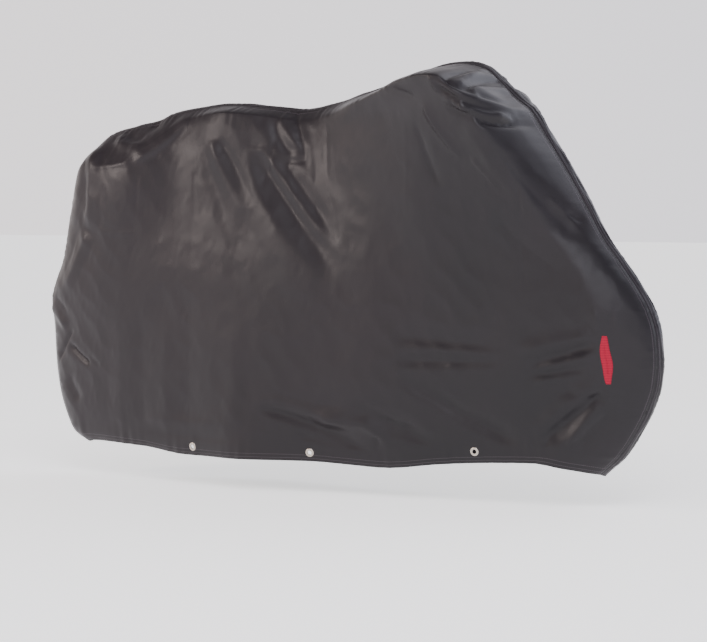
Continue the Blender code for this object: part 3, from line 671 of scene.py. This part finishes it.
def seam_line(side, steps, samples=400):
    """Evenly spaced points on the panel's border: up the rear, over the top and down the front."""
    t = np.linspace(0, 1, samples)
    a = np.concatenate([0 * t, t[1:], 1 + 0 * t[1:]])
    b = np.concatenate([t, 1 + 0 * t[1:], t[::-1][1:]])
    points = base_point(a, b, side)
    run = np.concatenate([[0], np.cumsum(np.linalg.norm(np.diff(points, axis=0), axis=1))])
    even = np.linspace(0, run[-1], steps + 1)
    return np.stack([np.interp(even, run, points[:, k]) for k in range(3)], axis=1), even


def strip_cloth():
    """Straight lines from one seam to the other, pushed outward by the crown, the gathers and a wave."""
    near, run = seam_line(-1, STRIP_STEPS)
    far, _ = seam_line(1, STRIP_STEPS)
    kernel = np.hanning(SMOOTHING)[1:-1]
    margin = len(kernel) // 2
    padded = np.pad(np.gradient(near[:, [0, 2]], axis=0), ((margin, margin), (0, 0)), mode="edge")
    heading = np.stack([np.convolve(padded[:, k], kernel / kernel.sum(), "valid") for k in (0, 1)], axis=1)
    heading /= np.linalg.norm(heading, axis=1, keepdims=True)
    away = np.stack([-heading[:, 1], 0 * run, heading[:, 0]], axis=1)
    turning = np.gradient(np.unwrap(np.arctan2(heading[:, 1], heading[:, 0])), run)
    corner = ramp(np.abs(turning) - CORNER_FROM, CORNER_ROOM)

    across = np.linspace(-1, 1, STRIP_ROWS + 1)[:, None]
    share = (across + 1) / 2
    points = near * (1 - share[..., None]) + far * share[..., None]
    points[..., 1] *= 1 + STRIP_LAP / STRIP_HALF
    slant = run + SLANT * across * np.sin(run * SLANT_TURNS)
    gather = puckers(slant, 41, 0.017) * (GATHER + CORNER_GATHER * corner)
    gather += FINE_GATHER * puckers(slant, 42, 0.008)
    edge = 1 - np.abs(across)
    crown = STRIP_CROWN * (1 - across ** 2) - SEAM_DIP * np.exp(-(edge / SEAM_DIP_WIDTH) ** 2)
    crown = crown + gather * np.clip(1.25 * (1 - across ** 4), 0, 1)
    slow = waves(run + 0 * across, 0.3 * across, STRIP_WAVE_LENGTH, 43)
    crown = crown + STRIP_WAVE * slow * (1 - across ** 2)
    points += away * crown[..., None]
    along_run, none = run + 0 * across, 0 * run
    layers = {
        "weave": np.stack([across * STRIP_HALF + none, along_run], axis=-1),
        "seams": np.stack([along_run, edge * STRIP_HALF + none], axis=-1),
    }
    piece = new_piece("strip_cloth", points, grid_faces(*points.shape[:2]), layers)
    thicken(piece, -1)
    print("strip:", round(float(run[-1]), 3), "m long,", round(2000 * STRIP_HALF), "mm wide")
    return piece


strip = strip_cloth()

# %% [markdown]
# Eyelets
#
# A pressed eyelet is a short tube whose ends are rolled over on both faces of the cloth. Turning one
# closed profile about its axis gives it in one go.

# %% Eyelet rings
EYELET_OUTER, EYELET_BORE = 0.0120, 0.0058
EYELET_DEPTH = 0.0040     # from face to face
ROLL_AT, ROLL_WIDTH = 0.75, 1.9           # where the flange is highest, and how widely it rolls
TURNS, FLANGE_STEPS = 72, 8


def eyelet_ring(side, place):
    """A profile in (radius, height) turned about the normal: a rolled, slightly domed flange on
    each face, joined by the bore's wall."""
    t = np.linspace(0, 1, FLANGE_STEPS + 1)
    dome = np.sqrt(np.clip(1 - (2 * t - ROLL_AT) ** 2 / ROLL_WIDTH, 0.05, 1))
    face = np.stack([EYELET_BORE + (EYELET_OUTER - EYELET_BORE) * t, EYELET_DEPTH / 2 * dome], axis=1)
    back = face[::-1] * np.array([1, -1])
    profile = np.concatenate([face, back])
    middle, facing = eyelet_pose(side, place)
    turn = np.array(Vector(facing).to_track_quat("Z", "Y").to_matrix())
    angle = np.linspace(0, math.tau, TURNS, endpoint=False)[:, None]
    ring = np.stack([profile[:, 0] * np.cos(angle), profile[:, 0] * np.sin(angle),
                     profile[:, 1] + 0 * angle], axis=-1)
    points = ring @ turn.T + middle
    count = len(profile)
    step = np.arange(TURNS)[:, None] * count
    after = np.roll(step, -1, axis=0)
    here, then = np.arange(count), (np.arange(count) + 1) % count
    faces = np.stack([step + here, step + then, after + then, after + here], axis=-1).reshape(-1, 4)
    name = f"eyelet_ring_{side_name(side)}_{place}"
    return new_piece(name, points, faces[:, ::-1])


eyelets = {key: eyelet_ring(*key) for key in EYELETS}
print("eyelets:", len(eyelets), "of", round(2000 * EYELET_OUTER), "mm")

# %% [markdown]
# Lock patch
#
# The patch is an oval of webbing with a folded edge and a slit down its middle for the lock to pass.
# It is a thin lens over (u, v), u down its length and v across, that drops steeply at the edge. The
# slit is a groove.

# %% Lock patches
PATCH_GRID = 90, 28
PATCH_SKIN, PATCH_TOP = 0.0012, 0.0036    # its edge and its top above the cloth's inner face
PATCH_UNDER = 0.0006      # its underside lies this far below its edge
PATCH_BEND = 0.0022       # its outline bends by this much
PATCH_ROUND = 1.7         # power of the outline: 1 is a diamond, 2 a parabola
ROUND_EDGE = 0.0030
SLIT_HALF, SLIT_DEPTH, SLIT_LENGTH = 0.0016, 0.0016, 0.62     # the length is a share of the patch's
RIB, RIB_PITCH = 0.00012, 0.0042


def lock_patch(side):
    """The lens and its underside, as two grids joined by a wall round their rims."""
    u, v = np.meshgrid(*(np.linspace(-1, 1, count + 1) for count in PATCH_GRID), indexing="ij")
    half = (PATCH_END + (1 - PATCH_END) * (1 - np.abs(u) ** PATCH_ROUND)) * PATCH_WIDTH / 2
    bend = PATCH_BEND * np.sin(3.4 * u + 0.4) * (1 - u ** 2)
    x = PATCH_X + v * half + PATCH_LEAN * u * PATCH_LENGTH / 2 + bend
    z = PATCH_Z - u * PATCH_LENGTH / 2
    inside = np.minimum((1 - np.abs(v)) * half, (1 - np.abs(u)) * PATCH_LENGTH / 2)
    edge = ramp(inside, ROUND_EDGE)
    slit = SLIT_DEPTH * np.exp(-(v * half / SLIT_HALF) ** 2) * ramp(SLIT_LENGTH - np.abs(u), 0.08)
    rib = RIB * np.sin(math.tau * u * PATCH_LENGTH / RIB_PITCH)
    height = PATCH_SKIN + (PATCH_TOP - PATCH_SKIN) * edge ** 0.5 - slit + rib * edge
    a, b = locate(x, z)
    top = cloth_point(a, b, side, height[..., None])
    under = cloth_point(a, b, side, PATCH_SKIN - PATCH_UNDER)
    rows, columns = u.shape
    faces = grid_faces(rows, columns)
    rim = np.concatenate([np.arange(columns), np.arange(1, rows) * columns + columns - 1,
                          (rows - 1) * columns + np.arange(columns - 2, -1, -1),
                          np.arange(rows - 2, 0, -1) * columns])
    count = rows * columns
    wall = np.stack([rim, np.roll(rim, -1), np.roll(rim, -1) + count, rim + count], axis=1)
    shell = np.concatenate([faces[:, ::-1], faces + count, wall])
    if side > 0:
        shell = shell[:, ::-1]
    places = np.stack([v * half, u * PATCH_LENGTH / 2], axis=-1)
    return new_piece(f"lock_patch_webbing_{side_name(side)}", np.concatenate([top, under]), shell,
                     {"weave": np.concatenate([places, places])})


patches = {side: lock_patch(side) for side in (-1, 1)}
print("lock patches:", len(patches), "of", round(1000 * PATCH_LENGTH), "mm")

# %% [markdown]
# Materials
#
# The cover is plain-woven polyester, coated on its inner face. The coat closes the weave, so the cloth
# has a soft shine instead of a matt one: a dielectric of IOR 1.5, rough enough to blur every light,
# with a little sheen where it turns away. Packing leaves its colour uneven. Towards the rear its colour
# is also painted warmer and lighter, as painted light from the warm light at the rear corner.

# %% Node helpers
def linear(colour):
    """sRGB hex to linear light: each channel over 12.92 when dark, else ((c + 0.055) / 1.055) ** 2.4."""
    channels = [int(colour[k:k + 2], 16) / 255 for k in (1, 3, 5)]
    return tuple(c / 12.92 if c <= 0.04045 else ((c + 0.055) / 1.055) ** 2.4 for c in channels) + (1.0,)


def new_material(name, **values):
    """Material whose Principled BSDF has the given socket values."""
    material = bpy.data.materials.new(name)
    material.use_nodes = True
    shader = material.node_tree.nodes["Principled BSDF"]
    for socket, value in values.items():
        shader.inputs[socket.replace("_", " ")].default_value = value
    return material, shader


def link(material, source, target):
    material.node_tree.links.new(source, target)


def add_node(material, kind, inputs=None, **settings):
    """Adds one node. Settings name its properties or, as in_NAME, its input sockets; inputs maps an
    input socket to the output it reads or to a fixed value."""
    node = material.node_tree.nodes.new(kind)
    for key, value in settings.items():
        if key.startswith("in_"):
            node.inputs[key[3:].replace("_", " ")].default_value = value
        else:
            setattr(node, key, value)
    for socket, source in (inputs or {}).items():
        if isinstance(source, bpy.types.NodeSocket):
            link(material, source, node.inputs[socket])
        else:
            node.inputs[socket].default_value = source
    return node


# %% Coated polyester
THREAD = 0.0024           # thread spacing, drawn six times too coarse so that it shows at all
SEAM_STITCH = 0.0060      # a row of stitches holds the seam's turned edge, this far from it
HEM_STITCHES = 0.008, 0.017   # two rows hold the folded hem, this far above its edge
STITCH, STITCH_GAP, THREAD_HALF = 0.0045, 0.12, 0.0007


def coated_polyester(name, base, warm, dark):
    """Dark woven cloth: colour drifts at random between two shades and, towards the rear, turns to a
    warmer, lighter third, which is painted light from the warm rear light. The weave and a fine crumple are
    bump, and rows of stitches are dashes at a fixed distance from the seams and the hem."""
    cloth, shader = new_material(name, Roughness=0.39, IOR=1.5, Specular_IOR_Level=0.24, Sheen_Weight=0.04,
                                 Sheen_Roughness=0.35, Sheen_Tint=linear("#cfc4c8"))
    place = add_node(cloth, "ShaderNodeTexCoord").outputs["Object"]
    drift = add_node(cloth, "ShaderNodeTexNoise", {"Vector": place},
                     in_Scale=2.3, in_Detail=3.0, in_Roughness=0.5)
    tone = add_node(cloth, "ShaderNodeValToRGB", {"Fac": drift.outputs["Fac"]})
    for stop, position, colour in zip(tone.color_ramp.elements, (0.32, 0.68), (dark, base)):
        stop.position, stop.color = position, linear(colour)
    apart = add_node(cloth, "ShaderNodeSeparateXYZ", {"Vector": place})
    # painted light: towards the rear, up to three quarters of the colour is the warmer, lighter shade that
    # the warm rear light gives
    painted_rear_light = add_node(cloth, "ShaderNodeMapRange", {"Value": apart.outputs["X"]},
                        in_From_Min=0.1, in_From_Max=-1.2, in_To_Min=0.0, in_To_Max=0.75)
    mixed = add_node(cloth, "ShaderNodeMix", data_type="RGBA", inputs={
        "Factor": painted_rear_light.outputs["Result"], 6: tone.outputs["Color"], 7: linear(warm)})

    weave_map = add_node(cloth, "ShaderNodeUVMap", uv_map="weave").outputs["UV"]
    threads = []
    for turn in (0.0, math.pi / 2):
        turned = add_node(cloth, "ShaderNodeMapping", {"Vector": weave_map})
        turned.inputs["Rotation"].default_value[2] = turn
        wave = add_node(cloth, "ShaderNodeTexWave", {"Vector": turned.outputs["Vector"]},
                        in_Scale=math.tau / (20 * THREAD), in_Distortion=0.6, in_Detail=1.0)
        threads.append(wave.outputs["Fac"])
    weave = add_node(cloth, "ShaderNodeMath", {0: threads[0], 1: threads[1]}, operation="MULTIPLY")
    crumple = add_node(cloth, "ShaderNodeTexNoise", {"Vector": place}, in_Scale=60.0, in_Detail=4.0,
                       in_Roughness=0.55, noise_type="RIDGED_MULTIFRACTAL")
    fine = add_node(cloth, "ShaderNodeBump", {"Height": weave.outputs["Value"]},
                    in_Strength=0.10, in_Distance=0.0003)
    bump = add_node(cloth, "ShaderNodeBump", in_Strength=0.18, in_Distance=0.0006,
                    inputs={"Height": crumple.outputs["Fac"], "Normal": fine.outputs["Normal"]})

    seam_map = add_node(cloth, "ShaderNodeUVMap", uv_map="seams").outputs["UV"]
    seam = add_node(cloth, "ShaderNodeSeparateXYZ", {"Vector": seam_map})
    # painted shade: the colour darkens to 85 % within 3.5 mm of each seam, where the seam's valley lies
    painted_seam_shade = add_node(cloth, "ShaderNodeMapRange", {"Value": seam.outputs["Y"]},
                      in_From_Min=0.0, in_From_Max=0.0035, in_To_Min=0.85, in_To_Max=1.0)
    final = add_node(cloth, "ShaderNodeVectorMath", operation="MULTIPLY",
                     inputs={0: mixed.outputs[2], 1: painted_seam_shade.outputs["Result"]})

    hem = add_node(cloth, "ShaderNodeSeparateXYZ", {"Vector": weave_map})
    thread = None
    for edge, height in ((seam, SEAM_STITCH), (hem, HEM_STITCHES[0]), (hem, HEM_STITCHES[1])):
        row = add_node(cloth, "ShaderNodeMath", {0: edge.outputs["Y"], 1: height, 2: THREAD_HALF},
                       operation="COMPARE")
        step = add_node(cloth, "ShaderNodeMath", {0: edge.outputs["X"], 1: STITCH / 2},
                        operation="PINGPONG")
        drawn = add_node(cloth, "ShaderNodeMath", {0: step.outputs["Value"], 1: STITCH * STITCH_GAP},
                         operation="GREATER_THAN")
        dash = add_node(cloth, "ShaderNodeMath", operation="MULTIPLY",
                        inputs={0: row.outputs["Value"], 1: drawn.outputs["Value"]})
        thread = dash if thread is None else add_node(
            cloth, "ShaderNodeMath", {0: thread.outputs["Value"], 1: dash.outputs["Value"]},
            operation="MAXIMUM")
    sewn = add_node(cloth, "ShaderNodeMix", data_type="RGBA", inputs={
        "Factor": thread.outputs["Value"], 6: final.outputs["Vector"], 7: linear("#3a3439")})
    raised = add_node(cloth, "ShaderNodeBump", in_Strength=0.6, in_Distance=0.0004,
                      inputs={"Height": thread.outputs["Value"], "Normal": bump.outputs["Normal"]})
    link(cloth, sewn.outputs[2], shader.inputs["Base Color"])
    link(cloth, raised.outputs["Normal"], shader.inputs["Normal"])
    uneven = add_node(cloth, "ShaderNodeTexNoise", {"Vector": place}, in_Scale=9.0, in_Detail=2.0)
    gloss = add_node(cloth, "ShaderNodeMapRange", {"Value": uneven.outputs["Fac"]},
                     in_From_Min=0.3, in_From_Max=0.7, in_To_Min=0.33, in_To_Max=0.44)
    link(cloth, gloss.outputs["Result"], shader.inputs["Roughness"])
    return cloth


panel_cloth = coated_polyester("coated woven polyester", "#1f1b1e", "#231e21", "#19171a")
# painted light: the strip is the panels' cloth in slightly lighter colours, since it gets less light than
# the panels' walls
lightened_strip_polyester = coated_polyester("coated woven polyester, strip", "#211d20", "#231e21", "#1c191d")

print("cloths:", panel_cloth.name, "and", lightened_strip_polyester.name)

# %% Nickel plate and red webbing
nickel, shader = new_material("nickel-plated brass", Metallic=1.0, Base_Color=linear("#b3aaa0"))
place = add_node(nickel, "ShaderNodeTexCoord").outputs["Object"]
rubbed = add_node(nickel, "ShaderNodeTexNoise", {"Vector": place}, in_Scale=260.0, in_Detail=3.0)
gloss = add_node(nickel, "ShaderNodeMapRange", {"Value": rubbed.outputs["Fac"]},
                 in_From_Min=0.3, in_From_Max=0.7, in_To_Min=0.20, in_To_Max=0.36)
link(nickel, gloss.outputs["Result"], shader.inputs["Roughness"])

webbing, shader = new_material("woven polyester webbing, red", Roughness=0.70, Specular_IOR_Level=0.2)
weave_map = add_node(webbing, "ShaderNodeUVMap", uv_map="weave").outputs["UV"]
ribs = add_node(webbing, "ShaderNodeTexWave", {"Vector": weave_map}, bands_direction="Y",
                in_Scale=math.tau / (20 * RIB_PITCH), in_Distortion=1.0)
# painted light and shade: the red is lighter on the ribs' crests and darker between them, following the
# same wave that gives their bump
shade = add_node(webbing, "ShaderNodeValToRGB", {"Fac": ribs.outputs["Fac"]})
for stop, colour in zip(shade.color_ramp.elements, ("#780a24", "#a01230")):
    stop.color = linear(colour)
link(webbing, shade.outputs["Color"], shader.inputs["Base Color"])
ridge = add_node(webbing, "ShaderNodeBump", {"Height": ribs.outputs["Fac"]},
                 in_Strength=0.4, in_Distance=0.0004)
link(webbing, ridge.outputs["Normal"], shader.inputs["Normal"])

# %% Dress the pieces and tie them to the solids
for side, piece in side_cloths.items():
    name = side_name(side)
    piece.data.materials.append(panel_cloth)
    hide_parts(f"side_panel_{name}", f"hem_band_{name}")
    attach(piece, "root")
strip.data.materials.append(lightened_strip_polyester)
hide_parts("centre_strip")
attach(strip, "root")
for (side, place), piece in eyelets.items():
    piece.data.materials.append(nickel)
    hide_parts(f"eyelet_{side_name(side)}_{place}")
    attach(piece, "root")
for side, piece in patches.items():
    piece.data.materials.append(webbing)
    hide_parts(f"lock_patch_{side_name(side)}")
    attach(piece, "root")

# %% [markdown]
# Studio
#
# A pale floor and a bright, even horizon light the walls, while the dark space overhead keeps the roof
# deeper in tone, which shows the drape. A glow above the camera, another high up on the far side, and a
# weak cool light reach the cloth that turns to the front. A warm light from the rear corner adds direction.

# %% Floor, lights and camera
FLOOR_Z, FLOOR_HALF = -ORIGIN[2], 30.0
CORNERS = [(-1, -1), (1, -1), (1, 1), (-1, 1)]
floor_mesh = bpy.data.meshes.new("studio_floor")
floor_mesh.from_pydata([(x * FLOOR_HALF, y * FLOOR_HALF, FLOOR_Z) for x, y in CORNERS], [], [(0, 1, 2, 3)])
floor = add_object("studio_floor", floor_mesh)
paper, _ = new_material("matt white paper", Roughness=0.9, Base_Color=linear("#f2f2f2"),
                        Emission_Color=linear("#ffffff"), Emission_Strength=0.95)
floor_mesh.materials.append(paper)

world = bpy.data.worlds.new("studio")
world.use_nodes = True
sky = add_node(world, "ShaderNodeTexCoord").outputs["Generated"]
background = world.node_tree.nodes["Background"]
facing = add_node(world, "ShaderNodeSeparateXYZ", {"Vector": sky})
fall = add_node(world, "ShaderNodeMapRange", {"Value": facing.outputs["Z"]},
                interpolation_type="SMOOTHSTEP",
                in_From_Min=0.12, in_From_Max=0.55, in_To_Min=1.82, in_To_Max=0.42)
across = add_node(world, "ShaderNodeVectorMath", {0: sky, 1: (-0.87, -0.49, 0.0)},
                  operation="DOT_PRODUCT")
toward = add_node(world, "ShaderNodeMapRange", {"Value": across.outputs["Value"]},
                  interpolation_type="SMOOTHSTEP",
                  in_From_Min=-0.9, in_From_Max=0.9, in_To_Min=0.82, in_To_Max=1.0)
total = add_node(world, "ShaderNodeMath", {0: fall.outputs["Result"], 1: toward.outputs["Result"]},
                 operation="MULTIPLY")
for direction, peak in (((0.40, -0.68, 0.61), 1.3), ((0.36, 0.78, 0.51), 1.5)):
    above = add_node(world, "ShaderNodeVectorMath", {0: sky, 1: direction}, operation="DOT_PRODUCT")
    glow = add_node(world, "ShaderNodeMapRange", {"Value": above.outputs["Value"]},
                    interpolation_type="SMOOTHSTEP",
                    in_From_Min=0.72, in_From_Max=0.97, in_To_Min=0.0, in_To_Max=peak)
    total = add_node(world, "ShaderNodeMath", {0: total.outputs["Value"], 1: glow.outputs["Result"]},
                     operation="ADD")
link(world, total.outputs["Value"], background.inputs["Strength"])
tint = add_node(world, "ShaderNodeMapRange", {"Value": across.outputs["Value"]},
                in_From_Min=-0.8, in_From_Max=0.8, in_To_Min=0.0, in_To_Max=1.0)
hue = add_node(world, "ShaderNodeValToRGB", {"Fac": tint.outputs["Result"]})
for stop, colour in zip(hue.color_ramp.elements, ("#eef1ff", "#fff4ef")):
    stop.color = linear(colour)
link(world, hue.outputs["Color"], background.inputs["Color"])
bpy.context.scene.world = world


def soft_light(name, place, aim, size, power, colour):
    """Square area light that faces its aim."""
    lamp = bpy.data.lights.new(name, "AREA")
    lamp.shape, lamp.size, lamp.energy = "SQUARE", size, power
    lamp.color = linear(colour)[:3]
    holder = add_object(name, lamp)
    holder.location = place
    holder.rotation_euler = (Vector(aim) - Vector(place)).to_track_quat("-Z", "Y").to_euler()
    print(name, power, "W")


soft_light("warm_side_light", (-4.6, -3.8, 1.6), (-0.4, 0.0, -0.6), 1.6, 130, "#fff1ea")
soft_light("cool_front_light", (2.8, -4.5, 3.7), (0.2, 0.0, -0.4), 3.4, 240, "#f4f5ff")

CAMERA_DOWN, CAMERA_TURN = 3.15, 29.5     # degrees below level, and round from the cover's side
camera = add_object("camera", bpy.data.cameras.new("camera"))
camera.data.sensor_width, camera.data.lens = 36.0, 120.2
camera.location = (2.849, -5.636, -0.343)
camera.rotation_euler = (math.radians(90 - CAMERA_DOWN), 0.0, math.radians(CAMERA_TURN))
bpy.context.scene.camera = camera
